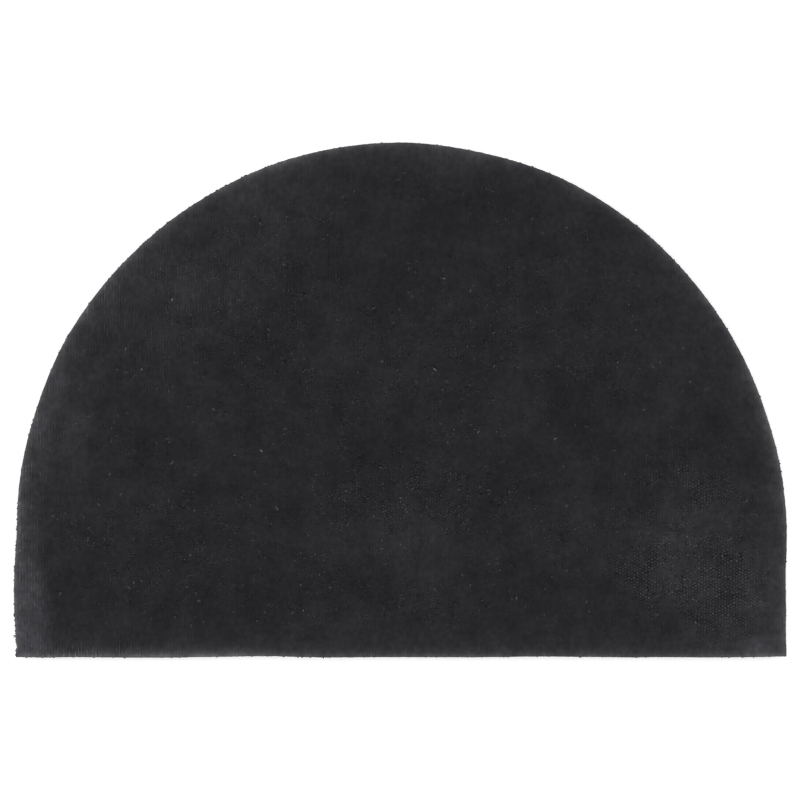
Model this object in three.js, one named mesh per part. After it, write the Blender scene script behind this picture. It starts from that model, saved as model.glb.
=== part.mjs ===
// Half-round doormat of tufted coir on a vinyl backing, lying face down: the backing is on top and
// the tips of the pile are on the floor. Millimetres, +Z up, +X along the straight front edge, +Y
// from the front edge to the crown of the arc, origin on the floor under the middle of the mat.
import * as THREE from "three";

// Driving dimensions
const WIDTH = 600; // along the front edge
const DEPTH = 400; // from the front edge to the crown
const THICKNESS = 15; // vinyl and pile together
const VINYL = 2.5; // thickness of the backing sheet
const LAYER_GAP = 0.3; // between the vinyl and the roots of the pile
const CORNER = 1.5; // radius of the two front corners
const EDGE_ROUND = 0.8; // easing of the vinyl's cut edge
const RIM_REACH = 24; // width of the band that sinks towards the cut edge
const RIM_DROP = 1.2; // how far that band has sunk at the edge
const PILE_INSET = 0.5; // the pile's flank stands this far inside the vinyl's edge
const TIP_ROUND = 2.4; // easing of the pile's lower edge

// Points along each stretch of the outline
const FRONT_STEPS = 30;
const SIDE_STEPS = 6;
const CORNER_STEPS = 3;
const ARC_STEPS = 60;

const RADIUS = WIDTH / 2; // the arc is a half circle
const SKIRT = DEPTH - RADIUS; // straight stretch of each side
const FRONT_Y = -DEPTH / 2;
const SPRING_Y = FRONT_Y + SKIRT; // where the sides run into the arc

// How far inside the true half-round the cut strays: bearings in degrees from +X about the arc's
// centre, heights above the front edge, and x along it
const ARC_STRAY = [
  { at: 0, inward: 0 },
  { at: 8, inward: 1.0 },
  { at: 18, inward: 2.4 },
  { at: 40, inward: 2.4 },
  { at: 54, inward: 1.3 },
  { at: 66, inward: 0.5 },
  { at: 78, inward: 1.2 },
  { at: 90, inward: 0 },
  { at: 108, inward: 0.2 },
  { at: 122, inward: 1.3 },
  { at: 138, inward: 1.8 },
  { at: 150, inward: 1.5 },
  { at: 162, inward: 2.6 },
  { at: 172, inward: 2.1 },
  { at: 180, inward: 2.4 },
];
const RIGHT_STRAY = [
  { at: 0, inward: 0.2 },
  { at: 20, inward: 0.8 },
  { at: 35, inward: 0.5 },
  { at: 55, inward: 0.9 },
  { at: 70, inward: 0.9 },
  { at: 85, inward: 0.1 },
  { at: 100, inward: 0 },
];
const LEFT_STRAY = [
  { at: 0, inward: 1.7 },
  { at: 10, inward: 2.1 },
  { at: 24, inward: 1.1 },
  { at: 40, inward: 0 },
  { at: 60, inward: 0 },
  { at: 80, inward: 1.4 },
  { at: 100, inward: 2.4 },
];
const FRONT_STRAY = [
  { at: -300, inward: 0.4 },
  { at: -284, inward: 0 },
  { at: -252, inward: 0.5 },
  { at: -225, inward: 0 },
  { at: -183, inward: 0 },
  { at: -150, inward: 0.6 },
  { at: -106, inward: 1.2 },
  { at: -60, inward: 0.1 },
  { at: -5, inward: 0.4 },
  { at: 60, inward: 0.3 },
  { at: 106, inward: 0.9 },
  { at: 150, inward: 0.6 },
  { at: 178, inward: 0.1 },
  { at: 206, inward: 0.5 },
  { at: 232, inward: 0.1 },
  { at: 275, inward: 0.4 },
  { at: 300, inward: 1.0 },
];

// The stray between two rows of a table, eased from one to the next
function strayAt(table, at) {
  const next = table.findIndex((row) => row.at >= at);
  if (next <= 0) return table.at(next).inward;
  const from = table[next - 1];
  const to = table[next];
  const share = THREE.MathUtils.smoothstep(at, from.at, to.at);
  return THREE.MathUtils.lerp(from.inward, to.inward, share);
}

// Pulls a point of the true half-round in to where the cut really runs
function strayed(point) {
  if (point.y >= SPRING_Y) {
    const spoke = new THREE.Vector2(point.x, point.y - SPRING_Y);
    const inward = strayAt(ARC_STRAY, THREE.MathUtils.radToDeg(spoke.angle()));
    spoke.setLength(spoke.length() - inward);
    return new THREE.Vector2(spoke.x, spoke.y + SPRING_Y);
  }
  const height = point.y - FRONT_Y;
  const side = point.x > 0 ? RIGHT_STRAY : LEFT_STRAY;
  const squeeze = 1 - strayAt(side, height) / (WIDTH / 2);
  const lift = strayAt(FRONT_STRAY, point.x) * (1 - height / SKIRT);
  return new THREE.Vector2(point.x * squeeze, point.y + lift);
}

// The cut outline drawn in by an inset, counter-clockwise from the front left corner
function outline(inset) {
  const half = WIDTH / 2 - inset;
  const front = FRONT_Y + inset;
  const corner = CORNER + inset;
  const turnX = half - corner;
  const turnY = front + corner;
  const at = (x, y) => new THREE.Vector2(x, y);
  const arc = (x, y, radius, from, to) =>
    new THREE.ArcCurve(x, y, radius, from * Math.PI, to * Math.PI);
  const runs = [
    { curve: new THREE.LineCurve(at(-turnX, front), at(turnX, front)), steps: FRONT_STEPS },
    { curve: arc(turnX, turnY, corner, -0.5, 0), steps: CORNER_STEPS },
    { curve: new THREE.LineCurve(at(half, turnY), at(half, SPRING_Y)), steps: SIDE_STEPS },
    { curve: arc(0, SPRING_Y, half, 0, 1), steps: ARC_STEPS },
    { curve: new THREE.LineCurve(at(-half, SPRING_Y), at(-half, turnY)), steps: SIDE_STEPS },
    { curve: arc(-turnX, turnY, corner, 1, 1.5), steps: CORNER_STEPS },
  ];
  return runs.flatMap(({ curve, steps }) => curve.getPoints(steps).slice(0, -1)).map(strayed);
}

// A closed solid through rings listed from the underside, round the edge, to the upper side
function loft(rings) {
  const points = rings.flatMap(({ inset, z }) =>
    outline(inset).map((p) => new THREE.Vector3(p.x, p.y, z)),
  );
  const count = points.length / rings.length;
  const underside = points.push(new THREE.Vector3(0, 0, rings[0].z)) - 1;
  const upperside = points.push(new THREE.Vector3(0, 0, rings.at(-1).z)) - 1;
  const lastRing = count * (rings.length - 1);
  const faces = [];
  for (let i = 0; i < count; i++) {
    const next = (i + 1) % count;
    faces.push(underside, next, i);
    faces.push(upperside, lastRing + i, lastRing + next);
    for (let ring = 0; ring < lastRing; ring += count) {
      const above = ring + count;
      faces.push(ring + i, ring + next, above + next);
      faces.push(ring + i, above + next, above + i);
    }
  }
  const geometry = new THREE.BufferGeometry().setFromPoints(points).setIndex(faces);
  geometry.computeVertexNormals();
  return geometry;
}

// Rings across the sunken rim, from its inner end out to the cut edge
const RIM_SHARES = [1, 0.6, 0.25];
const sag = (inset) => RIM_DROP * (1 - inset / RIM_REACH) ** 2;
const rim = (level) =>
  RIM_SHARES.map((share) => share * RIM_REACH).map((inset) => ({ inset, z: level - sag(inset) }));

// A quarter round as shares of its radius: how far in from the flank, and how far from the face
const QUARTER = [0, 0.25, 0.5].map((turn) => ({
  inset: 1 - Math.cos(turn * Math.PI),
  depth: 1 - Math.sin(turn * Math.PI),
}));

// The vinyl sheet: it follows the sunken rim on both faces, and its upper edge is eased
function vinylBacking() {
  const under = THICKNESS - VINYL;
  const edge = QUARTER.map(({ inset, depth }) => ({
    inset: inset * EDGE_ROUND,
    z: THICKNESS - sag(inset * EDGE_ROUND) - depth * EDGE_ROUND,
  }));
  return loft([...rim(under), { inset: 0, z: under - sag(0) }, ...edge, ...rim(THICKNESS).reverse()]);
}

// The pile under it: flat where its tips lie on the floor, with an eased lower edge
function coirPile() {
  const roots = THICKNESS - VINYL - LAYER_GAP;
  const tips = QUARTER.map(({ inset, depth }) => ({
    inset: PILE_INSET + inset * TIP_ROUND,
    z: depth * TIP_ROUND,
  })).reverse();
  return loft([...tips, { inset: PILE_INSET, z: roots - sag(0) }, ...rim(roots).reverse()]);
}

const vinylFinish = new THREE.MeshStandardMaterial({ color: 0x2a2a2d, roughness: 0.62, metalness: 0 });
const coirFinish = new THREE.MeshStandardMaterial({ color: 0x2b2824, roughness: 0.9, metalness: 0 });

const mat = new THREE.Group();
for (const [name, geometry, finish] of [
  ["vinyl_backing", vinylBacking(), vinylFinish],
  ["coir_pile", coirPile(), coirFinish],
]) {
  const mesh = new THREE.Mesh(geometry, finish);
  mesh.name = name;
  mat.add(mesh);
}

export default mat;
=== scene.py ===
import math

import bmesh
import bpy
import numpy as np
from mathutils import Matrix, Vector, noise
from mathutils.bvhtree import BVHTree


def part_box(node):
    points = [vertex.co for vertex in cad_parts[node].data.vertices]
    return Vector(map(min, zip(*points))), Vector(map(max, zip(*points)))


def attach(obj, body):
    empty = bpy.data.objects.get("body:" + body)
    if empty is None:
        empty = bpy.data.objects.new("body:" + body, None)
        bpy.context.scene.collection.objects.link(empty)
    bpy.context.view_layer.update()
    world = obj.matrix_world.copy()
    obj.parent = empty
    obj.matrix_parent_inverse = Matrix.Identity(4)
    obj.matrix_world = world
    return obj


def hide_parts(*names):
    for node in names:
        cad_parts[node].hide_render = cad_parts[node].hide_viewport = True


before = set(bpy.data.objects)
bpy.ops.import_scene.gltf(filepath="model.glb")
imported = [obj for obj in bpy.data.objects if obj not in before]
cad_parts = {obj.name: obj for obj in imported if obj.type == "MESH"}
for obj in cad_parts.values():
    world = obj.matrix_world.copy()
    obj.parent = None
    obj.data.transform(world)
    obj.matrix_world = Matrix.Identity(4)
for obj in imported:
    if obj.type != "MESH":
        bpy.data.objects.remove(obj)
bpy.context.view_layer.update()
mm = 0.001
samePoint = 0.0001 * mm   # points nearer than this are one

# the mat's own measures, read from the frame
vinylLow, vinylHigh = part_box("vinyl_backing")
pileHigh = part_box("coir_pile")[1]
matWidth = vinylHigh.x - vinylLow.x
halfWidth = matWidth / 2          # also the radius of the arc
frontY = vinylLow.y
springY = vinylHigh.y - halfWidth  # where the straight sides run into the arc
skirt = springY - frontY
print("frame read: mat", [round(side / mm) for side in (vinylHigh - Vector((vinylLow.x, vinylLow.y, 0)))])

# values that the backing and the pile share
edge = {
    "rimReach": 24 * mm,   # band that sinks towards the cut edge
    "rimDrop": 1.2 * mm,   # how far it has sunk there
    "strayFade": 40 * mm,  # the cut's strays die out this far in
    "level": 0.7 * mm,     # height above the vinyl's lowest point at which the cut is felt for
    "corner": 4 * mm,      # and how near to the front corners
    "wave": 0.22 * mm,     # the mat lies a little unevenly
    "waveSink": 0.6,       # more below its true height than above it
    "waveSize": 85 * mm,
}

# where faces lie on the map that their colours can be baked through, as shares of it
bakeMap = {
    "name": "OFBake",
    "margin": 0.01,
    "strandSide": 0.006,      # width of one side of a strand
    "corner": (0.07, 0.92),   # a corner that the half-round leaves free, for the cut and the underside
    "small": 0.1,             # their size there
    "cutWidth": 1.1,
}


def smooth(value):
    value = min(max(value, 0.0), 1.0)
    return value * value * (3 - 2 * value)


def rimSag(inset):
    return edge["rimDrop"] * max(0.0, 1 - inset / edge["rimReach"]) ** 2


# how far the mat lies off its true height, inside the rim
def unevenness(place, inset):
    wave = noise.noise(Vector((place.x, place.y, 0)) / edge["waveSize"]) - edge["waveSink"]
    return wave * edge["wave"] * smooth(inset / edge["strayFade"])


# feels for the cut edge of the solid from outside, so that new pieces follow its strays
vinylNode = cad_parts["vinyl_backing"]
vinylTree = BVHTree.FromPolygons(
    [v.co for v in vinylNode.data.vertices], [p.vertices for p in vinylNode.data.polygons])
feelZ = vinylLow.z + edge["level"]


def strayOut(hub, out):
    hit = vinylTree.ray_cast(hub + out * matWidth, -out)[0]
    return (hit - hub).length - halfWidth if hit else 0.0


# moves a place by a share of what the cut beside it strays
def followCut(place, share):
    x, y = place.x, place.y
    if y >= springY:
        spoke = Vector((x, y - springY, 0))
        if spoke.length < halfWidth / 2:
            return
        out = spoke.normalized()
        move = out * strayOut(Vector((0, springY, feelZ)), out) * share
    else:
        height = max(y - frontY, edge["corner"])
        out = Vector((math.copysign(1, x), 0, 0))
        side = strayOut(Vector((0, frontY + height, feelZ)), out) * abs(x) / halfWidth
        limit = halfWidth - edge["corner"]
        feeler = Vector((min(max(x, -limit), limit), frontY - matWidth, feelZ))
        hit = vinylTree.ray_cast(feeler, Vector((0, 1, 0)))[0]
        lift = (hit.y - frontY) * (1 - height / skirt) if hit else 0.0
        move = (out * side + Vector((0, lift, 0))) * share
    place += move


# the true half-round as a loop of edges, with points at an even step
def halfRoundLoop(bm, inset, step):
    radius = halfWidth - inset
    drop = skirt - inset
    point = bm.verts.new((radius, springY, 0))
    runs = [(math.pi * radius, math.pi, (0, 0, 0)), (drop, 0, (0, -1, 0)),
            (2 * radius, 0, (1, 0, 0)), (drop, 0, (0, 1, 0))]
    for length, turn, way in runs:
        steps = round(length / step)
        swept = bmesh.ops.spin(bm, geom=[point], cent=(0, springY, 0), axis=(0, 0, 1), angle=turn,
                               dvec=Vector(way) * length / steps, steps=steps)
        point = swept["geom_last"][0]
    bmesh.ops.remove_doubles(bm, verts=bm.verts[:], dist=step / 10)
    return bm.edges[:]


def extrudeLoop(bm, loop):
    grown = bmesh.ops.extrude_edge_only(bm, edges=loop)["geom"]
    points = [item for item in grown if isinstance(item, bmesh.types.BMVert)]
    return points, [item for item in grown if isinstance(item, bmesh.types.BMEdge)]


# rings drawn in from a loop to the given insets, then a face over the middle; each point keeps
# how far in from the cut edge it lies
def drawIn(bm, loop, start, insets, layer):
    before = start
    for inset in insets:
        points, loop = extrudeLoop(bm, loop)
        for point in points:
            reach = halfWidth if point.co.y > springY else skirt
            point.co.x *= (halfWidth - inset) / (halfWidth - before)
            point.co.y = springY + (point.co.y - springY) * (reach - inset) / (reach - before)
            point[layer] = inset
        before = inset
    return bmesh.ops.contextual_create(bm, geom=loop)["faces"][0]


# a face cut crosswise; the cuts start a little aside, to keep off the points of the rings
def crossCut(bm, core, spacing, aside):
    faces = [core]
    for axis, low, high in ((0, -halfWidth, halfWidth), (1, frontY, vinylHigh.y)):
        normal = Vector((1 - axis, axis, 0))
        for i in range(math.ceil((high - low) / spacing)):
            parts = set(faces)
            for face in faces:
                parts.update(face.edges)
                parts.update(face.verts)
            place = normal * (low + (i + aside) * spacing)
            cut = bmesh.ops.bisect_plane(bm, geom=list(parts), plane_co=place, plane_no=normal,
                                         dist=samePoint)
            faces = [item for item in cut["geom"] if isinstance(item, bmesh.types.BMFace)]
    return faces


def finishPiece(bm, name, material):
    bmesh.ops.recalc_face_normals(bm, faces=bm.faces[:])
    mesh = bpy.data.meshes.new(name)
    bm.to_mesh(mesh)
    bm.free()
    mesh.polygons.foreach_set("use_smooth", [True] * len(mesh.polygons))
    mesh.materials.append(material)
    piece = bpy.data.objects.new(name, mesh)
    bpy.context.scene.collection.objects.link(piece)
    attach(piece, "root")
    print("piece", name, len(mesh.polygons), "faces")
    return piece


# node helpers
def addNode(tree, kind, **settings):
    node = tree.nodes.new("ShaderNode" + kind)
    for key, value in settings.items():
        setattr(node, key, value)
    return node


def feed(tree, socket, value):
    if isinstance(value, bpy.types.NodeSocket):
        tree.links.new(value, socket)
    else:
        socket.default_value = value


def maths(tree, operation, *values):
    node = addNode(tree, "Math", operation=operation)
    for socket, value in zip(node.inputs, values):
        feed(tree, socket, value)
    return node.outputs[0]


def vectorMaths(tree, operation, first, second):
    node = addNode(tree, "VectorMath", operation=operation)
    feed(tree, node.inputs[0], first)
    feed(tree, node.inputs["Scale" if operation == "SCALE" else 1], second)
    return node.outputs[0]


def ease(tree, value, low, high):
    node = addNode(tree, "MapRange", interpolation_type="SMOOTHSTEP")
    for name, amount in (("Value", value), ("From Min", low), ("From Max", high)):
        feed(tree, node.inputs[name], amount)
    return node.outputs["Result"]


# what the masks are made of
softNoise = {"Scale": 1.0, "Detail": 2.5, "Roughness": 0.6}


# a mask out of soft noise: size across and along, where it begins and is full, its own shift
def cloudMask(tree, spot, cloud):
    (across, along), low, high, shift = cloud
    place = addNode(tree, "Mapping")
    feed(tree, place.inputs["Vector"], spot)
    feed(tree, place.inputs["Location"], (*shift, 0))
    feed(tree, place.inputs["Scale"], (1 / across, 1 / along, 1))
    field = addNode(tree, "TexNoise", noise_dimensions="2D")
    feed(tree, field.inputs["Vector"], place.outputs[0])
    for name, amount in softNoise.items():
        feed(tree, field.inputs[name], amount)
    return ease(tree, field.outputs["Fac"], low, high)


# a place moved about by soft noise, so that marks wander
def stirred(tree, spot, size, reach):
    stir = addNode(tree, "TexNoise", noise_dimensions="2D")
    feed(tree, stir.inputs["Vector"], spot)
    feed(tree, stir.inputs["Scale"], 1 / size)
    centred = vectorMaths(tree, "SUBTRACT", stir.outputs["Color"], (0.5, 0.5, 0.5))
    return vectorMaths(tree, "ADD", vectorMaths(tree, "SCALE", centred, reach), spot)


def mixColour(tree, share, first, second):
    node = addNode(tree, "Mix", data_type="RGBA")
    feed(tree, node.inputs[0], share)
    feed(tree, node.inputs[6], first)
    feed(tree, node.inputs[7], second)
    return node.outputs[2]


def newGroup(name, inputs, outputs):
    group = bpy.data.node_groups.new(name, "ShaderNodeTree")
    for label, kind, value in inputs:
        socket = group.interface.new_socket(label, in_out="INPUT", socket_type="NodeSocket" + kind)
        if value is not None:
            socket.default_value = value
    for label, kind in outputs:
        group.interface.new_socket(label, in_out="OUTPUT", socket_type="NodeSocket" + kind)
    ins = group.nodes.new("NodeGroupInput")
    outs = group.nodes.new("NodeGroupOutput")
    return group, ins.outputs, outs.inputs


def placeGroup(tree, group, **values):
    node = addNode(tree, "Group", node_tree=group)
    for key, value in values.items():
        feed(tree, node.inputs[key], value)
    return node.outputs


def newMaterial(name):
    material = bpy.data.materials.new(name)
    material.use_nodes = True
    tree = material.node_tree
    return material, tree, tree.nodes["Principled BSDF"]


def millimetres(tree):
    return vectorMaths(tree, "SCALE", addNode(tree, "TexCoord").outputs["Object"], 1 / mm)


# cloudy changes of tone, shared by the vinyl and the roots
def makeToneClouds():
    tree, ins, outs = newGroup(
        "toneClouds",
        [("Spot", "Vector", None), ("Size", "Float", 40.0), ("Depth", "Float", 0.3),
         ("Detail", "Float", 4.0),
         ("Shift", "Vector", (431, 367, 0))],   # keeps the noise's own origin off the mat
        [("Tone", "Float")])
    cloud = addNode(tree, "TexNoise", noise_dimensions="2D")
    feed(tree, cloud.inputs["Vector"], vectorMaths(tree, "ADD", ins["Spot"], ins["Shift"]))
    feed(tree, cloud.inputs["Scale"], maths(tree, "DIVIDE", 1.0, ins["Size"]))
    feed(tree, cloud.inputs["Detail"], ins["Detail"])
    swing = maths(tree, "SUBTRACT", cloud.outputs["Fac"], 0.5)
    feed(tree, outs["Tone"], maths(tree, "MULTIPLY_ADD", swing, ins["Depth"], 1.0))
    return tree


# small grains scattered over a face: one here and there out of a field of cells
def makeScatteredGrains():
    tree, ins, outs = newGroup(
        "scatteredGrains",
        [("Spot", "Vector", None), ("Cell", "Float", 4.0), ("Radius", "Float", 0.1),
         ("Share", "Float", 0.2), ("Least", "Float", 0.5), ("Core", "Float", 0.4),
         ("Faintness", "Float", 1.5)],
        [("Mask", "Float")])
    cells = addNode(tree, "TexVoronoi", voronoi_dimensions="2D")
    feed(tree, cells.inputs["Vector"], ins["Spot"])
    feed(tree, cells.inputs["Scale"], maths(tree, "DIVIDE", 1.0, ins["Cell"]))
    draw = addNode(tree, "SeparateColor")
    feed(tree, draw.inputs[0], cells.outputs["Color"])
    kept = maths(tree, "LESS_THAN", draw.outputs[0], ins["Share"])
    size = maths(tree, "MULTIPLY", ins["Radius"], maths(tree, "ADD", draw.outputs[1], ins["Least"]))
    near = ease(tree, cells.outputs["Distance"], size, maths(tree, "MULTIPLY", size, ins["Core"]))
    near = maths(tree, "MULTIPLY", near, maths(tree, "POWER", draw.outputs[2], ins["Faintness"]))
    feed(tree, outs["Mask"], maths(tree, "MULTIPLY", kept, near))
    return tree


# belt marks pressed into the vinyl: staggered dots, and the ribs that their columns make
def makeBeltMarks():
    tree, ins, outs = newGroup(
        "beltMarks",
        [("Spot", "Vector", None), ("Column", "Float", 2.27), ("Dot", "Float", 2.42),
         ("Ridge", "Float", 0.35)],
        [("Dots", "Float"), ("Ribs", "Float")])
    split = addNode(tree, "SeparateXYZ")
    feed(tree, split.inputs[0], ins["Spot"])
    across = maths(tree, "DIVIDE", maths(tree, "MULTIPLY", split.outputs[0], math.pi), ins["Column"])
    along = maths(tree, "DIVIDE", maths(tree, "MULTIPLY", split.outputs[1], 2 * math.pi), ins["Dot"])
    stagger = maths(tree, "MULTIPLY", maths(tree, "COSINE", across), maths(tree, "COSINE", along))
    ribs = maths(tree, "COSINE", maths(tree, "MULTIPLY", across, 2.0))
    feed(tree, outs["Dots"], maths(tree, "MULTIPLY_ADD", ribs, ins["Ridge"], stagger))
    feed(tree, outs["Ribs"], ribs)
    return tree


anyHeight = 1000   # reach of a patch up and down, mm: so far that height makes no difference


# a soft patch round a middle: full in its core, gone at its reach
def makeSoftPatch():
    tree, ins, outs = newGroup(
        "softPatch",
        [("Spot", "Vector", None), ("Middle", "Vector", (0, 0, 0)),
         ("Reach", "Vector", (50, 50, anyHeight)), ("Core", "Float", 0.25)],
        [("Mask", "Float")])
    away = vectorMaths(tree, "SUBTRACT", ins["Spot"], ins["Middle"])
    far = addNode(tree, "VectorMath", operation="LENGTH")
    feed(tree, far.inputs[0], vectorMaths(tree, "DIVIDE", away, ins["Reach"]))
    feed(tree, outs["Mask"], ease(tree, far.outputs["Value"], 1.0, ins["Core"]))
    return tree


toneClouds = makeToneClouds()
scatteredGrains = makeScatteredGrains()
beltMarks = makeBeltMarks()
softPatch = makeSoftPatch()
print("node groups ready")

# finish of the vinyl: lengths and places in mm, amounts as shares of the pale colour and of the rim's
# painted sheen colour
vinylFinish = {
    "black": (0.0148, 0.0144, 0.0166, 1),
    "pale": (0.101, 0.1, 0.113, 1),     # pale patches, specks of dust with painted glints, and the painted sheen of the rim's wide fall
    "rimSheen": (0.103, 0.102, 0.1065, 1),   # painted sheen of the narrow fall, where the sunken rim catches the light
    "rawEdge": (0.022, 0.022, 0.024, 1),
    "rawReach": (0.6, 0.1),     # where the colour of the cut edge begins and is full
    "roughness": 0.55,
    "dullness": (14.0, 0.3),    # size and depth of its changes
    "specular": 0.1,
    "clouds": [(60.0, 0.8), (17.0, 0.82), (4.5, 0.8)],   # size and depth of the changes of tone
    "ragged": (14.0, 44.0),     # how the patches' outlines wander: size and reach
    # pale patches: middle, reach, amount
    "paleAreas": [
        ((-215, 75), (85, 62), 0.06), ((-150, 110), (80, 62), 0.04), ((-105, 160), (80, 42), 0.06),
        ((-262, -15), (44, 85), 0.09), ((225, 80), (85, 95), 0.03), ((236, -66), (48, 42), 0.045),
        ((245, -135), (105, 75), 0.11), ((20, -112), (130, 30), 0.04), ((40, 182), (60, 24), 0.04),
        ((300, -205), (45, 45), 0.3),
    ],

    # belt marks pressed into the vinyl: spacing, and how strongly they show, as painted light on their
    # tops and painted shade in their hollows
    "column": 2.27,
    "dot": 2.42,
    "dots": 1.75,
    "dotHollowShade": -0.28,          # how dark the painted shade in the hollows between them gets
    "ribs": 0.65,
    "ribHollowShade": -0.3,
    "jumble": (3.6, 6.0, -3.4),  # how they slid: size, reach, and what crisp patches take off it
    # clouds that break them up: size across and along, where the mask begins and is full, shift
    "fading": ((7.0, 7.0), 0.34, 0.6, (61.3, 43.9)),
    "chance": ((2.4, 2.4), 0.3, 0.7, (17.7, 2.3)),
    "patchy": ((12.0, 12.0), 0.48, 0.6, (3.3, 11.7)),
    "streaks": ((2.0, 7.7), 0.5, 0.68, (7.1, 33.3)),
    # where dots stayed crisp
    "crispPatches": [
        ((236, -66), (26, 20), 0.8), ((186, -133), (32, 34), 1.0), ((250, -150), (52, 56), 1.0),
        ((4, -75), (90, 32), 0.6), ((121, -106), (32, 26), 0.5), ((-61, -124), (32, 24), 0.5),
    ],
    # where broken remains of them fleck the face, over a base
    "fleckBase": 0.2,
    "fleckRim": (10.0, 36.0),   # flecks, dust and painted glints come in over this width
    "fleckPatches": [
        ((-130, 90), (130, 90), 0.35), ((-40, 20), (160, 90), 0.5), ((10, -75), (150, 60), 0.7),
        ((110, 50), (110, 90), 0.5), ((220, -110), (90, 100), 0.8), ((-180, -110), (110, 70), 0.7),
        ((-20, -160), (130, 35), 0.7),
    ],
    # where ribs show most, over a base
    "ribBase": 0.3,
    "ribPatches": [
        ((-195, 62), (85, 75), 0.75), ((-100, 100), (110, 75), 0.45), ((-288, -80), (36, 150), 0.6),
        ((-240, -196), (80, 14), 0.8), ((200, -60), (60, 50), 0.7),
    ],

    # painted sheen where the sunken rim catches the light, a narrow and a wide fall: amount, length of
    # the fall, and where there is more of it
    "rimSheenFalls": [
        (0.8, 1.95, [
            ((-190, -205), (140, 60), 1.3), ((0, -205), (120, 60), 0.2), ((-300, -120), (50, 110), 0.4),
            ((-250, 40), (110, 120), 0.3), ((285, -30), (60, 90), 0.3), ((60, 190), (150, 70), -0.25),
            ((300, -150), (45, 70), -0.3), ((298, -205), (42, 45), 0.6),
        ]),
        (0.17, 9.0, [
            ((285, -20), (70, 110), 0.75), ((-110, 170), (90, 70), 0.25), ((-205, 100), (90, 90), 0.65),
            ((-190, -205), (140, 70), 0.55), ((-60, -205), (120, 60), 0.2), ((60, 190), (150, 70), -0.15),
        ]),
    ],
    # painted sheen: a pale band down the left side, where the sunken rim catches the left light
    "band": 0.2,
    "bandLeft": (-150.0, -285.0),        # x over which it comes in
    "bandUpper": (60.0, -10.0, 0.55),    # y over which it comes in, and how much of it
    "bandLower": (-112.0, -138.0, 0.55),
    "bandWidth": (0.0, 6.0, 14.0, 30.0),  # rise and fall, measured in from the edge
    "bandSpread": (-120.0, -165.0, 0.85, 0.3),   # it widens towards the front
    "bandBend": 5.0,                     # half the length over which it goes from arc to straight side
    "mottle": (9.0, 0.5),                # size and depth of the changes of tone in the rim's painted sheen
    # ribs show as light teeth in the rim's painted sheen
    "rimRibs": 0.45,

    # bright specks, dust with painted glints, and dark pits, painted shade
    "grainField": ((30.0, 30.0), 0.36, 0.6, (13.1, 5.9)),
    "dustAndGlints": (3.0, 0.17, 0.16),         # cell, radius, share of cells
    "dustAndGlintAmount": 1.3,
    "shadedPits": (3.0, 0.22, 0.3),
    "pitAmount": -0.9,
    "pitShift": (0.5, -0.9, 0.0),        # a pit lies beside its speck

    "darkest": 0.1,
    "bumpDepth": 0.16,
    "bumpGrain": ((1.1, 1.1), 0.0, 1.0, (5.3, 71.9)),
    "bumpShares": (0.5, 0.12, 0.8, 1.2),   # ribs, marks that no longer show in the colour, grain, dust and glints
}


def sumPatches(tree, spot, patches, base=0.0):
    total = base
    for middle, reach, amount in patches:
        patch = placeGroup(tree, softPatch, Spot=spot, Middle=(*middle, 0), Reach=(*reach, anyHeight))
        total = maths(tree, "MULTIPLY_ADD", patch["Mask"], amount, total)
    return total


def cloudyTone(tree, spot, cloud):
    size, depth = cloud
    return placeGroup(tree, toneClouds, Spot=spot, Size=size, Depth=depth)["Tone"]


# belt marks: dots in crisp patches and fainter in flecked ones, ribs in short streaks
def pressMarks(tree, spot, ragged, inner):
    values = vinylFinish
    crisp = sumPatches(tree, ragged, values["crispPatches"])
    flecked = sumPatches(tree, ragged, values["fleckPatches"], values["fleckBase"])
    flecked = maths(tree, "MULTIPLY", flecked, cloudMask(tree, spot, values["patchy"]))
    flecked = maths(tree, "MULTIPLY", flecked, inner)
    size, reach, calm = values["jumble"]
    reach = maths(tree, "MULTIPLY_ADD", maths(tree, "MINIMUM", crisp, 1.0), calm, reach)
    jumbled = stirred(tree, spot, size, reach)
    pitch = {"Column": values["column"], "Dot": values["dot"]}
    marks = placeGroup(tree, beltMarks, Spot=jumbled, **pitch)["Dots"]
    columns = placeGroup(tree, beltMarks, Spot=spot, **pitch)["Ribs"]
    shown = maths(tree, "MULTIPLY_ADD", crisp, cloudMask(tree, spot, values["fading"]), flecked)
    shown = maths(tree, "MULTIPLY", shown, cloudMask(tree, spot, values["chance"]))
    ribbed = sumPatches(tree, ragged, values["ribPatches"], values["ribBase"])
    ribbed = maths(tree, "MULTIPLY", ribbed, cloudMask(tree, spot, values["streaks"]))
    dots = maths(tree, "MULTIPLY", marks, shown)
    ribs = maths(tree, "MULTIPLY", columns, ribbed)
    return jumbled, marks, dots, ribs


# painted sheen down the left side: the band keeps its distance from the left side, down to the corner
def paintedSheenBand(tree, spot, inset):
    values = vinylFinish
    split = addNode(tree, "SeparateXYZ")
    feed(tree, split.inputs[0], spot)
    x, y = split.outputs[0], split.outputs[1]
    straight = ease(tree, y, springY / mm + values["bandBend"], springY / mm - values["bandBend"])
    aside = maths(tree, "SUBTRACT", maths(tree, "ADD", x, halfWidth / mm), inset)
    aside = maths(tree, "MULTIPLY_ADD", aside, straight, inset)
    start, end, base, more = values["bandSpread"]
    spread = maths(tree, "MULTIPLY_ADD", ease(tree, y, start, end), more, base)
    aside = maths(tree, "DIVIDE", aside, spread)
    rise, top, shoulder, foot = values["bandWidth"]
    band = maths(tree, "MULTIPLY", ease(tree, aside, rise, top), ease(tree, aside, foot, shoulder))
    height = 0.0
    for start, end, share in (values["bandUpper"], values["bandLower"]):
        height = maths(tree, "MULTIPLY_ADD", ease(tree, y, start, end), share, height)
    band = maths(tree, "MULTIPLY", band, maths(tree, "MULTIPLY", height, values["band"]))
    return maths(tree, "MULTIPLY", band, ease(tree, x, *values["bandLeft"]))
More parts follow.
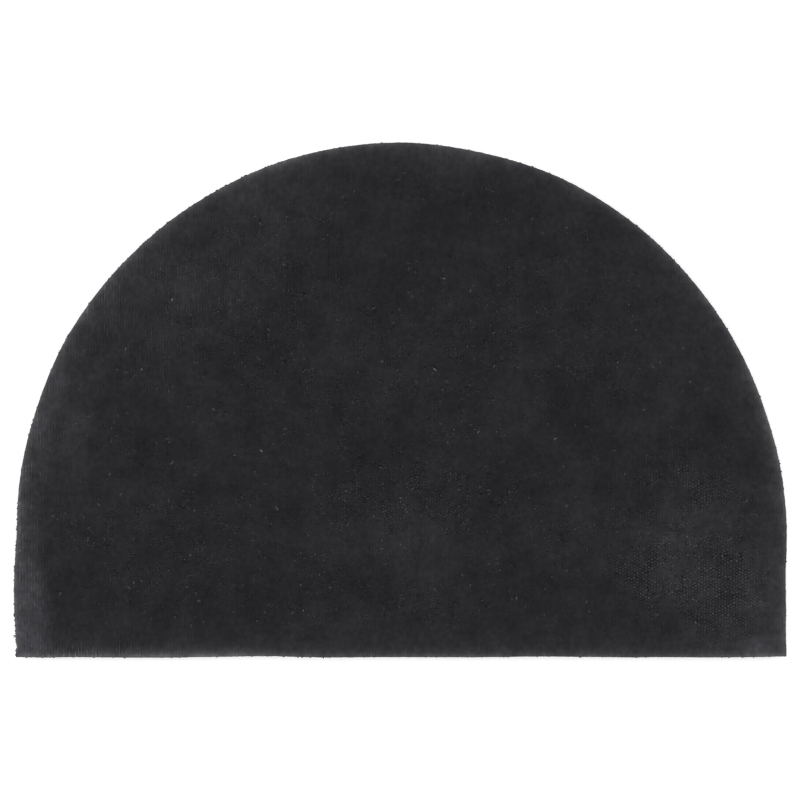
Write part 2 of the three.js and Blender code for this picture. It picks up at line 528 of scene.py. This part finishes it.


# painted sheen of the sunken rim: the narrow fall, and the wide one together with the band
def paintRimSheen(tree, spot, inset, ribs):
    values = vinylFinish
    falls = []
    for amount, length, places in values["rimSheenFalls"]:
        fade = maths(tree, "EXPONENT", maths(tree, "DIVIDE", inset, -length))
        strength = maths(tree, "MULTIPLY", sumPatches(tree, spot, places, 1.0), amount)
        falls.append(maths(tree, "MULTIPLY", fade, strength))
    narrow, wide = falls
    wide = maths(tree, "ADD", wide, paintedSheenBand(tree, spot, inset))
    mottle = cloudyTone(tree, spot, values["mottle"])
    mottle = maths(tree, "MULTIPLY_ADD", ribs, values["rimRibs"], mottle)
    return maths(tree, "MULTIPLY", narrow, mottle), maths(tree, "MULTIPLY", wide, mottle)


# specks of dust with painted glints, and pits with painted shade, thicker in some fields than in others
def scatterGlintsAndShadedPits(tree, spot, jumbled, inner):
    values = vinylFinish
    field = maths(tree, "MULTIPLY", cloudMask(tree, spot, values["grainField"]), inner)
    beside = vectorMaths(tree, "ADD", jumbled, values["pitShift"])
    grains = []
    for place, (cell, radius, share) in ((jumbled, values["dustAndGlints"]), (beside, values["shadedPits"])):
        grain = placeGroup(tree, scatteredGrains, Spot=place, Cell=cell, Radius=radius, Share=share)
        grains.append(maths(tree, "MULTIPLY", grain["Mask"], field))
    return grains


def makeVinyl():
    values = vinylFinish
    material, tree, shader = newMaterial("embossedVinyl")
    spot = millimetres(tree)
    inset = addNode(tree, "Attribute", attribute_name="edgeInset").outputs["Fac"]
    inset = maths(tree, "MULTIPLY", inset, 1 / mm)
    inner = ease(tree, inset, *values["fleckRim"])
    ragged = stirred(tree, spot, *values["ragged"])
    jumbled, marks, dots, ribs = pressMarks(tree, spot, ragged, inner)
    rimSheen, pale = paintRimSheen(tree, spot, inset, ribs)
    dustAndGlints, shadedPits = scatterGlintsAndShadedPits(tree, spot, jumbled, inner)

    pale = maths(tree, "ADD", pale, sumPatches(tree, ragged, values["paleAreas"]))
    # specks: dust, and painted glints where grit catches the light
    pale = maths(tree, "MULTIPLY_ADD", dustAndGlints, values["dustAndGlintAmount"], pale)
    colour = values["black"]
    # the pale colour, then the painted sheen of the rim's narrow fall
    for share, over in ((pale, values["pale"]), (rimSheen, values["rimSheen"])):
        colour = mixColour(tree, maths(tree, "MINIMUM", share, 1.0), colour, over)
    tone = 1.0
    for cloud in values["clouds"]:
        tone = maths(tree, "MULTIPLY", tone, cloudyTone(tree, spot, cloud))
    # painted light and shade of the belt marks: tops lighter, hollows darker
    for marked, depth, amount in ((dots, values["dotHollowShade"], values["dots"]),
                                  (ribs, values["ribHollowShade"], values["ribs"])):
        tone = maths(tree, "MULTIPLY_ADD", maths(tree, "MAXIMUM", marked, depth), amount, tone)
    # painted shade in the pits
    tone = maths(tree, "MULTIPLY_ADD", shadedPits, values["pitAmount"], tone)
    colour = vectorMaths(tree, "SCALE", colour, maths(tree, "MAXIMUM", tone, values["darkest"]))
    raw = ease(tree, inset, *values["rawReach"])
    feed(tree, shader.inputs["Base Color"], mixColour(tree, raw, colour, values["rawEdge"]))

    dull = cloudyTone(tree, spot, values["dullness"])
    feed(tree, shader.inputs["Roughness"], maths(tree, "MULTIPLY", dull, values["roughness"]))
    feed(tree, shader.inputs["Specular IOR Level"], values["specular"])

    grain = cloudMask(tree, spot, values["bumpGrain"])
    height = dots
    for part, share in zip((ribs, marks, grain, dustAndGlints), values["bumpShares"]):
        height = maths(tree, "MULTIPLY_ADD", part, share, height)
    bump = addNode(tree, "Bump")
    feed(tree, bump.inputs["Distance"], values["bumpDepth"] * mm)
    feed(tree, bump.inputs["Height"], height)
    feed(tree, shader.inputs["Normal"], bump.outputs[0])
    return material


# finish of the coir: strand by strand, with painted shade towards the roots and paler towards worn tips
coirFinish = {
    # deep: near-black, painted shade among the roots of the pile
    "deep": (0.006, 0.005, 0.0045, 1),
    "strand": (0.030, 0.026, 0.021, 1),
    "worn": (0.085, 0.066, 0.046, 1),
    "roughness": 0.78,
    "specular": 0.25,
    "tufts": (12 * mm, 0.4),     # strands that stand together share some of their tone: size, depth
    "strandShade": (0.7, 0.65),  # how far a strand's tone brightens it, and from what
    "rootTone": (2.0, 0.9),      # size in mm and depth of the roots' changes of tone
    "rootFibre": (2.2, 2.2, 0.25),   # fibres per mm across, along and up
    "rootShow": (0.4, 0.75),
    "rootBump": 0.5 * mm,
    "rootShadeFade": (0.0, 0.45),     # share of a strand over which it leaves the painted shade at its root
    "wornStrands": (0.55, 1.0),  # which strands are worn
    "wornTips": (0.1, 1.0),
}


def shadeCoir(tree, shader, colour, tone):
    feed(tree, shader.inputs["Base Color"], vectorMaths(tree, "SCALE", colour, tone))
    feed(tree, shader.inputs["Roughness"], coirFinish["roughness"])
    feed(tree, shader.inputs["Specular IOR Level"], coirFinish["specular"])


def makeBristleCoir():
    values = coirFinish
    material, tree, shader = newMaterial("coirBristle")
    strand = addNode(tree, "Attribute", attribute_name="strandTone").outputs["Fac"]
    along = addNode(tree, "Attribute", attribute_name="strandAlong").outputs["Fac"]
    colour = mixColour(tree, ease(tree, along, *values["rootShadeFade"]), values["deep"], values["strand"])
    worn = ease(tree, strand, *values["wornStrands"])
    worn = maths(tree, "MULTIPLY", worn, ease(tree, along, *values["wornTips"]))
    colour = mixColour(tree, worn, colour, values["worn"])
    shadeCoir(tree, shader, colour, maths(tree, "MULTIPLY_ADD", strand, *values["strandShade"]))
    return material


def makeRootCoir():
    values = coirFinish
    material, tree, shader = newMaterial("coirRoots")
    spot = millimetres(tree)
    fibre = addNode(tree, "TexNoise", noise_dimensions="3D")
    feed(tree, fibre.inputs["Vector"], vectorMaths(tree, "MULTIPLY", spot, values["rootFibre"]))
    feed(tree, fibre.inputs["Scale"], 1.0)
    share = ease(tree, fibre.outputs["Fac"], *values["rootShow"])
    # painted shade between the root fibres
    colour = mixColour(tree, share, values["deep"], values["strand"])
    shadeCoir(tree, shader, colour, cloudyTone(tree, spot, values["rootTone"]))
    bump = addNode(tree, "Bump")
    feed(tree, bump.inputs["Distance"], values["rootBump"])
    feed(tree, bump.inputs["Height"], fibre.outputs["Fac"])
    feed(tree, shader.inputs["Normal"], bump.outputs[0])
    return material


embossedVinyl = makeVinyl()
coirBristle = makeBristleCoir()
coirRoots = makeRootCoir()
print("finishes ready")

# the vinyl sheet
sheet = {
    "edgeStep": 0.8 * mm,    # points along the cut edge
    "thickness": 2.5 * mm,
    "edgeRound": 0.8 * mm,
    "insets": [0.12, 0.35, 0.8, 1.8, 4.0, 8.0, 14.0, 24.0, 40.0],  # rings of the rim, mm
    "underInsets": [8.0, 24.0],
    "grid": (10 * mm, 0.37),   # spacing and start of the cross cuts
    "fray": [(5 * mm, 0.14 * mm), (1.3 * mm, 0.2 * mm)],   # roughness of the cut: size and depth
    "frayDepth": 1.2 * mm,   # how far in it reaches
    "burrChance": 0.06,      # burrs left by the cut: share of points
    "burrOut": (0.25 * mm, 0.95 * mm),
    "burrTaper": 0.6,        # share of it at the underside
    # stretches cut more roughly: middle and reach in mm, times as many burrs
    "rough": [((-145, 125), (85, 75), 3.5), ((-300, -140), (25, 65), 3.5)],
    # nicks in the cut: middle in mm, reach, depth
    "nicks": [((-300, -191.5), 2.6 * mm, 0.9 * mm)],
    "seed": 11,
}


def roundedEdge(inset):
    gone = max(0.0, sheet["edgeRound"] - inset)
    return sheet["edgeRound"] - math.sqrt(sheet["edgeRound"] ** 2 - gone ** 2)


def outward(place):
    if place.y >= springY:
        return Vector((place.x, place.y - springY, 0)).normalized()
    if halfWidth - abs(place.x) < place.y - frontY:
        return Vector((math.copysign(1, place.x), 0, 0))
    return Vector((0, -1, 0))


def cutRoughness(place):
    for (x, y), (wide, deep), times in sheet["rough"]:
        if math.hypot((place.x / mm - x) / wide, (place.y / mm - y) / deep) < 1:
            return times
    return 1.0


# how far the cut's roughness and its nicks move a point outwards
def frayOut(spot, inset):
    out = 0.0
    hold = max(0.0, 1 - inset / sheet["frayDepth"])
    for size, depth in sheet["fray"]:
        out += hold * depth * noise.noise(Vector((*spot, 0)) / size)
    for middle, reach, depth in sheet["nicks"]:
        far = (Vector(spot) - Vector(middle) * mm).length / reach
        out -= depth * (1 - smooth(far))
    return out


# the upper face fills the map, the cut and the underside lie small in one corner
def layOut(bm, under):
    values = bakeMap
    layer = bm.loops.layers.uv.new(values["name"])
    for part in bm.faces:
        upper = under.isdisjoint(part.verts)
        for loop in part.loops:
            place = loop.vert.co
            spot = Vector((place.x / matWidth, place.y / (vinylHigh.y - vinylLow.y)))
            if upper:
                loop[layer].uv = spot * (1 - 2 * values["margin"]) + Vector((0.5, 0.5))
            else:
                grown = 1 if loop.vert in under else values["cutWidth"]
                loop[layer].uv = spot * values["small"] * grown + Vector(values["corner"])


def makeSheet():
    values = sheet
    bm = bmesh.new()
    layer = bm.verts.layers.float.new("edgeInset")
    cut = halfRoundLoop(bm, 0.0, values["edgeStep"])
    core = drawIn(bm, cut, 0.0, [inset * mm for inset in values["insets"]], layer)
    inner = values["insets"][-1] * mm
    for part in crossCut(bm, core, *values["grid"]):
        for point in part.verts:
            point[layer] = inner

    # the cut edge goes down to the underside, which follows the sunken rim
    cut = [item for item in bm.edges if item.is_boundary]
    lower, lowerLoop = extrudeLoop(bm, cut)
    bmesh.ops.translate(bm, verts=lower, vec=(0, 0, -values["thickness"]))
    drawIn(bm, lowerLoop, 0.0, [inset * mm for inset in values["underInsets"]], layer)

    dice = np.random.default_rng(values["seed"])
    burrs = {}
    under = set()
    for point in bm.verts:
        inset = point[layer]
        below = point.co.z < 0
        out = outward(point.co)
        spot = (point.co.x, point.co.y)
        followCut(point.co, 1 - smooth(inset / edge["strayFade"]))
        point.co += out * frayOut(spot, inset)
        if inset == 0.0 and not below and dice.random() < values["burrChance"] * cutRoughness(point.co):
            burrs[spot] = dice.uniform(*values["burrOut"])
        if inset == 0.0:   # a burr goes through the thickness of the sheet
            point.co += out * burrs.get(spot, 0.0) * (values["burrTaper"] if below else 1)
        drop = values["thickness"] if below else roundedEdge(inset)
        point.co.z = vinylHigh.z - rimSag(inset) - drop + unevenness(point.co, inset)
        if below:
            point[layer] = 0.0   # the underside is as raw as the cut
            under.add(point)
    layOut(bm, under)
    return finishPiece(bm, "vinylSheet", embossedVinyl)


vinylSheet = makeSheet()
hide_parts("vinyl_backing")

# roots of the pile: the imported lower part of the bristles
roots = {
    "edgeStep": 4 * mm,
    "flank": 1.7 * mm,      # inside the cut edge
    "clear": 2.6 * mm,      # above the floor
    "insets": [4.0, 9.0, 24.0, 40.0],   # rings of the upper side, mm
    "underInsets": [5.0],
    "grid": (8 * mm, 0.37),
    "lump": 0.5 * mm,
    "lumpSize": 4 * mm,
}


def makeRoots():
    values = roots
    bm = bmesh.new()
    layer = bm.verts.layers.float.new("edgeInset")
    cut = halfRoundLoop(bm, values["flank"], values["edgeStep"])
    for point in bm.verts:
        point[layer] = values["flank"]
    drawIn(bm, cut, values["flank"], [inset * mm for inset in values["insets"]], layer)
    lower, lowerLoop = extrudeLoop(bm, [item for item in bm.edges if item.is_boundary])
    bmesh.ops.translate(bm, verts=lower, vec=(0, 0, values["clear"] - pileHigh.z))
    under = drawIn(bm, lowerLoop, values["flank"], [inset * mm for inset in values["underInsets"]], layer)
    crossCut(bm, under, *values["grid"])
    for point in bm.verts:
        inset = point[layer]
        below = point.co.z < 0
        followCut(point.co, 1 - smooth(inset / edge["strayFade"]))
        lump = noise.noise(point.co / values["lumpSize"]) * values["lump"]
        top = pileHigh.z - rimSag(inset) + unevenness(point.co, inset)
        point.co.z = values["clear"] + lump if below else top
    return finishPiece(bm, "coirRoots", coirRoots)


coirBed = makeRoots()
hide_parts("coir_pile")


# three-sided strands that bow a little and taper to their tips
def strandShape(values, dice, rootPlaces, tipPlaces, bows):
    levels = np.array(values["levels"])[:, None]
    count, rings = len(rootPlaces), len(levels)
    spine = rootPlaces[:, None] * (1 - levels) + tipPlaces[:, None] * levels
    spine = spine + bows[:, None] * (4 * levels * (1 - levels))
    run = tipPlaces - rootPlaces
    run = run / np.linalg.norm(run, axis=1)[:, None]
    askew = [0.3, 0.9, 0.3]   # a way that hardly any strand runs
    side = np.cross(run, askew)
    side = side / np.linalg.norm(side, axis=1)[:, None]
    turn = dice.uniform(0, math.pi, count)[:, None] + np.arange(3) * 2 * math.pi / 3
    ring = side[:, None] * np.cos(turn)[:, :, None]
    ring = ring + np.cross(run, side)[:, None] * np.sin(turn)[:, :, None]
    radius = dice.uniform(*values["width"], count)[:, None] * np.array(values["taper"]) / 2
    points = (spine[:, :, None] + ring[:, None] * radius[:, :, None, None]).reshape(-1, 3)

    corner = np.arange(3)
    after = (corner + 1) % 3
    row = np.arange(rings - 1)[:, None] * 3
    sides = np.stack([row + corner, row + after, row + 3 + after, row + 3 + corner], -1).reshape(-1, 4)
    last = rings * 3 - 3
    ends = np.array([[0, 2, 1], [last, last + 1, last + 2]])
    first = (np.arange(count) * rings * 3)[:, None, None]
    faces = (sides + first).reshape(-1, 4).tolist() + (ends + first).reshape(-1, 3).tolist()
    return points.tolist(), faces


# on the map, tone goes across and the way to the tip goes up
def layOutStrands(mesh, tones, alongs):
    margin, wide = bakeMap["margin"], bakeMap["strandSide"]
    corners = np.arange(len(tones)) % 3
    across = margin + tones * (1 - 2 * margin - 2 * wide) + corners * wide
    upward = margin + alongs * (1 - 2 * margin - wide) + (corners == 1) * wide
    order = np.empty(len(mesh.loops), np.int32)
    mesh.loops.foreach_get("vertex_index", order)
    layout = np.stack([across, upward], 1)[order].astype(np.float32)
    mesh.uv_layers.new(name=bakeMap["name"]).uv.foreach_set("vector", layout.ravel())


# all the strands of a piece in one mesh, each with its tone and the way from its root to its tip
def makeStrands(name, values, dice, rootPlaces, tipPlaces, bows):
    points, faces = strandShape(values, dice, rootPlaces, tipPlaces, bows)
    mesh = bpy.data.meshes.new(name)
    mesh.from_pydata(points, [], faces)
    count, rings = len(rootPlaces), len(values["levels"])
    size, depth = coirFinish["tufts"]
    drift = np.array([noise.noise(Vector(place) / size) for place in rootPlaces])
    tones = np.clip(dice.uniform(0, 1, count) + drift * depth, 0, 1)
    tones = np.repeat(tones, rings * 3)
    alongs = np.tile(np.repeat(values["levels"], 3), count)
    for label, amounts in (("strandTone", tones), ("strandAlong", alongs)):
        mesh.attributes.new(label, "FLOAT", "POINT").data.foreach_set("value", amounts.astype(np.float32))
    layOutStrands(mesh, tones, alongs)
    bm = bmesh.new()
    bm.from_mesh(mesh)
    bpy.data.meshes.remove(mesh)
    if values["taper"][-1] == 0:   # a strand that ends in a point
        bmesh.ops.remove_doubles(bm, verts=bm.verts[:], dist=samePoint)
    return finishPiece(bm, name, coirBristle)


# places spread along the cut outline, a given inset inside it
def outlinePlaces(count, insets, dice):
    length = math.pi * halfWidth + 2 * skirt + matWidth
    run = (np.arange(count) + dice.uniform(0, 1, count)) / count * length
    places, outs = [], []
    for at, inset in zip(run, insets):
        if at < matWidth:
            place, out = Vector((at - halfWidth, frontY, 0)), Vector((0, -1, 0))
        elif at < matWidth + skirt:
            place, out = Vector((halfWidth, frontY + at - matWidth, 0)), Vector((1, 0, 0))
        elif at < length - skirt:
            angle = (at - matWidth - skirt) / halfWidth
            out = Vector((math.cos(angle), math.sin(angle), 0))
            place = out * halfWidth + Vector((0, springY, 0))
        else:
            place, out = Vector((-halfWidth, frontY + length - at, 0)), Vector((-1, 0, 0))
        followCut(place, 1.0)
        places.append(place - out * inset)
        outs.append(out)
    return np.array(places), np.array(outs)


# bristles that show along the cut flank
flank = {
    "count": 13500,
    "insets": (0.5 * mm, 2.6 * mm),
    "lean": (-0.5 * mm, 0.9 * mm),   # tips in or out of the flank
    "sway": 0.9 * mm,                # tips along the flank
    "bowOut": (-0.1 * mm, 0.35 * mm),
    "bowAlong": 0.3 * mm,
    "width": (0.26 * mm, 0.46 * mm),
    "tipHeight": (0.05 * mm, 1.3 * mm),
    "levels": [0, 0.55, 1],
    "taper": [1, 0.9, 0.45],
    "seed": 5,
}


def makeFlank():
    values = flank
    dice = np.random.default_rng(values["seed"])
    count = values["count"]
    insets = dice.uniform(*values["insets"], count)
    places, outs = outlinePlaces(count, insets, dice)
    along = np.stack([-outs[:, 1], outs[:, 0], np.zeros(count)], 1)
    up = np.array([0, 0, 1.0])
    tops = np.array([pileHigh.z - rimSag(inset) for inset in insets])
    tips = places + outs * dice.uniform(*values["lean"], count)[:, None]
    tips = tips + along * dice.normal(0, values["sway"], count)[:, None]
    tips = tips + up * dice.uniform(*values["tipHeight"], count)[:, None]
    bows = outs * dice.uniform(*values["bowOut"], count)[:, None]
    bows = bows + along * dice.normal(0, values["bowAlong"], count)[:, None]
    return makeStrands("flankBristles", values, dice, places + up * tops[:, None], tips, bows)


flankBristles = makeFlank()

# loose fibres that stick out from under the cut edge
strays = {
    "count": 420,
    "insets": (0.8 * mm, 2.2 * mm),
    "out": (0.0, 0.9 * mm),          # past the cut edge
    "sway": 1.1 * mm,
    "rootDrop": 0.35 * mm,           # below the vinyl, roots
    "drop": (0.4 * mm, 4.5 * mm),    # and tips
    "bowOut": (0.0, 0.3 * mm),
    "width": (0.3 * mm, 0.6 * mm),
    "clump": (-298.0 * mm, -183.7 * mm),   # one thick tuft by the left front corner
    "clumpCount": 9,
    "clumpSpread": 0.8 * mm,
    "clumpReach": (2.0 * mm, 2.9 * mm),
    "levels": [0, 0.5, 1],
    "taper": [1, 1, 0.6],
    "seed": 41,
}


def makeStrays():
    values = strays
    dice = np.random.default_rng(values["seed"])
    count = values["count"]
    insets = dice.uniform(*values["insets"], count)
    places, outs = outlinePlaces(count, insets, dice)
    reach = insets + dice.uniform(*values["out"], count)
    tuft = values["clumpCount"]
    clump = np.array([*values["clump"], 0]) + dice.uniform(-1, 1, (tuft, 3)) * values["clumpSpread"]
    places = np.concatenate([places, clump])
    outs = np.concatenate([outs, np.tile([-1.0, 0, 0], (tuft, 1))])
    reach = np.concatenate([reach, dice.uniform(*values["clumpReach"], tuft)])
    count += tuft
    along = np.stack([-outs[:, 1], outs[:, 0], np.zeros(count)], 1)
    up = np.array([0, 0, 1.0])
    low = vinylLow.z - dice.uniform(*values["drop"], count)
    places = places * [1, 1, 0] + up * (vinylLow.z - values["rootDrop"])
    tips = places + outs * reach[:, None]
    sway = dice.normal(0, values["sway"], count) * (np.arange(count) < count - tuft)
    tips = tips * [1, 1, 0] + along * sway[:, None] + up * low[:, None]
    bows = outs * dice.uniform(*values["bowOut"], count)[:, None]
    return makeStrands("strayFibres", values, dice, places, tips, bows)


strayFibres = makeStrays()

# bristle tips over the whole face of the pile, in two halves
pileFace = {
    "spacing": 1.63 * mm,
    "jitter": 0.6 * mm,
    "width": (0.95 * mm, 1.4 * mm),
    "rooted": 1.2 * mm,      # how deep they stand in the bed
    "tipHeight": (0.0, 0.9 * mm),
    "sway": 0.6 * mm,
    "margin": 4.0 * mm,
    "levels": [0, 1],
    "taper": [1, 0],
    "seed": 23,
}


def makeFace(name, side):
    values = pileFace
    dice = np.random.default_rng(values["seed"] + side)
    gap = values["spacing"]
    across = np.arange(gap / 2, halfWidth, gap) * side
    deep = np.arange(frontY, vinylHigh.y, gap * math.sqrt(3) / 2)
    x, y = np.meshgrid(across, deep)
    x = x + (np.arange(len(deep)) % 2)[:, None] * gap / 2
    x = (x + dice.uniform(-1, 1, x.shape) * values["jitter"]).ravel()
    y = (y + dice.uniform(-1, 1, y.shape) * values["jitter"]).ravel()
    room = np.where(y > springY, halfWidth - np.hypot(x, y - springY), halfWidth - np.abs(x))
    room = np.minimum(room, y - frontY)
    kept = room > values["margin"]
    x, y = x[kept], y[kept]
    count = len(x)
    top = np.stack([x, y, np.full(count, roots["clear"] + values["rooted"])], 1)
    tips = np.stack([x + dice.normal(0, values["sway"], count), y + dice.normal(0, values["sway"], count),
                     dice.uniform(*values["tipHeight"], count)], 1)
    return makeStrands(name, values, dice, top, tips, np.zeros((count, 3)))


faceBristles = [makeFace("faceBristlesRight", 1), makeFace("faceBristlesLeft", -1)]
# studio: pale floor, soft boxes round the mat, camera straight above it
studio = {
    "floorSize": 9.0,
    "floorColour": (0.92, 0.92, 0.92, 1),
    "floorRoughness": 0.9,
    "floorGlow": 0.45,
    "world": 0.2,
    "boxes": [
        ("leftBox", (-1.5, 0.2, 1.2), 1.4, 18.0),
        ("rightBox", (1.5, 0.3, 1.3), 1.4, 14.5),
        ("frontBox", (0.1, -1.5, 1.4), 1.2, 12.5),
        ("backBox", (0.0, 1.6, 1.4), 1.2, 12.5),
    ],
    "cameraHeight": 2.6,
    "cameraAside": -0.25 * mm,
    "framed": 620.65 * mm,   # width of the picture at the rim of the mat
    "sensor": 36.0,
}


def makeFloor():
    values = studio
    bm = bmesh.new()
    bmesh.ops.create_grid(bm, x_segments=1, y_segments=1, size=values["floorSize"])
    mesh = bpy.data.meshes.new("studioFloor")
    bm.to_mesh(mesh)
    bm.free()
    floor = bpy.data.objects.new("studioFloor", mesh)
    bpy.context.scene.collection.objects.link(floor)
    material, tree, shader = newMaterial("studioFloor")
    feed(tree, shader.inputs["Base Color"], values["floorColour"])
    feed(tree, shader.inputs["Roughness"], values["floorRoughness"])
    feed(tree, shader.inputs["Specular IOR Level"], 0.0)
    feed(tree, shader.inputs["Emission Color"], (1, 1, 1, 1))
    feed(tree, shader.inputs["Emission Strength"], values["floorGlow"])
    mesh.materials.append(material)


def makeLights():
    world = bpy.data.worlds.new("studioWorld")
    bpy.context.scene.world = world
    world.use_nodes = True
    backdrop = world.node_tree.nodes["Background"]
    backdrop.inputs["Color"].default_value = (1, 1, 1, 1)
    backdrop.inputs["Strength"].default_value = studio["world"]
    for name, place, size, power in studio["boxes"]:
        light = bpy.data.lights.new(name, "AREA")
        light.shape = "SQUARE"
        light.size = size
        light.energy = power
        box = bpy.data.objects.new(name, light)
        bpy.context.scene.collection.objects.link(box)
        box.location = place
        box.rotation_euler = (-Vector(place)).to_track_quat("-Z", "Y").to_euler()


def makeCamera():
    values = studio
    camera = bpy.data.cameras.new("overheadCamera")
    camera.sensor_width = values["sensor"]
    rimZ = vinylHigh.z - edge["rimDrop"]
    camera.lens = values["sensor"] * (values["cameraHeight"] - rimZ) / values["framed"]
    holder = bpy.data.objects.new("overheadCamera", camera)
    bpy.context.scene.collection.objects.link(holder)
    holder.location = (values["cameraAside"], 0, values["cameraHeight"])
    bpy.context.scene.camera = holder
    bpy.context.scene.view_settings.view_transform = "Standard"


makeFloor()
makeLights()
makeCamera()
print("studio ready")
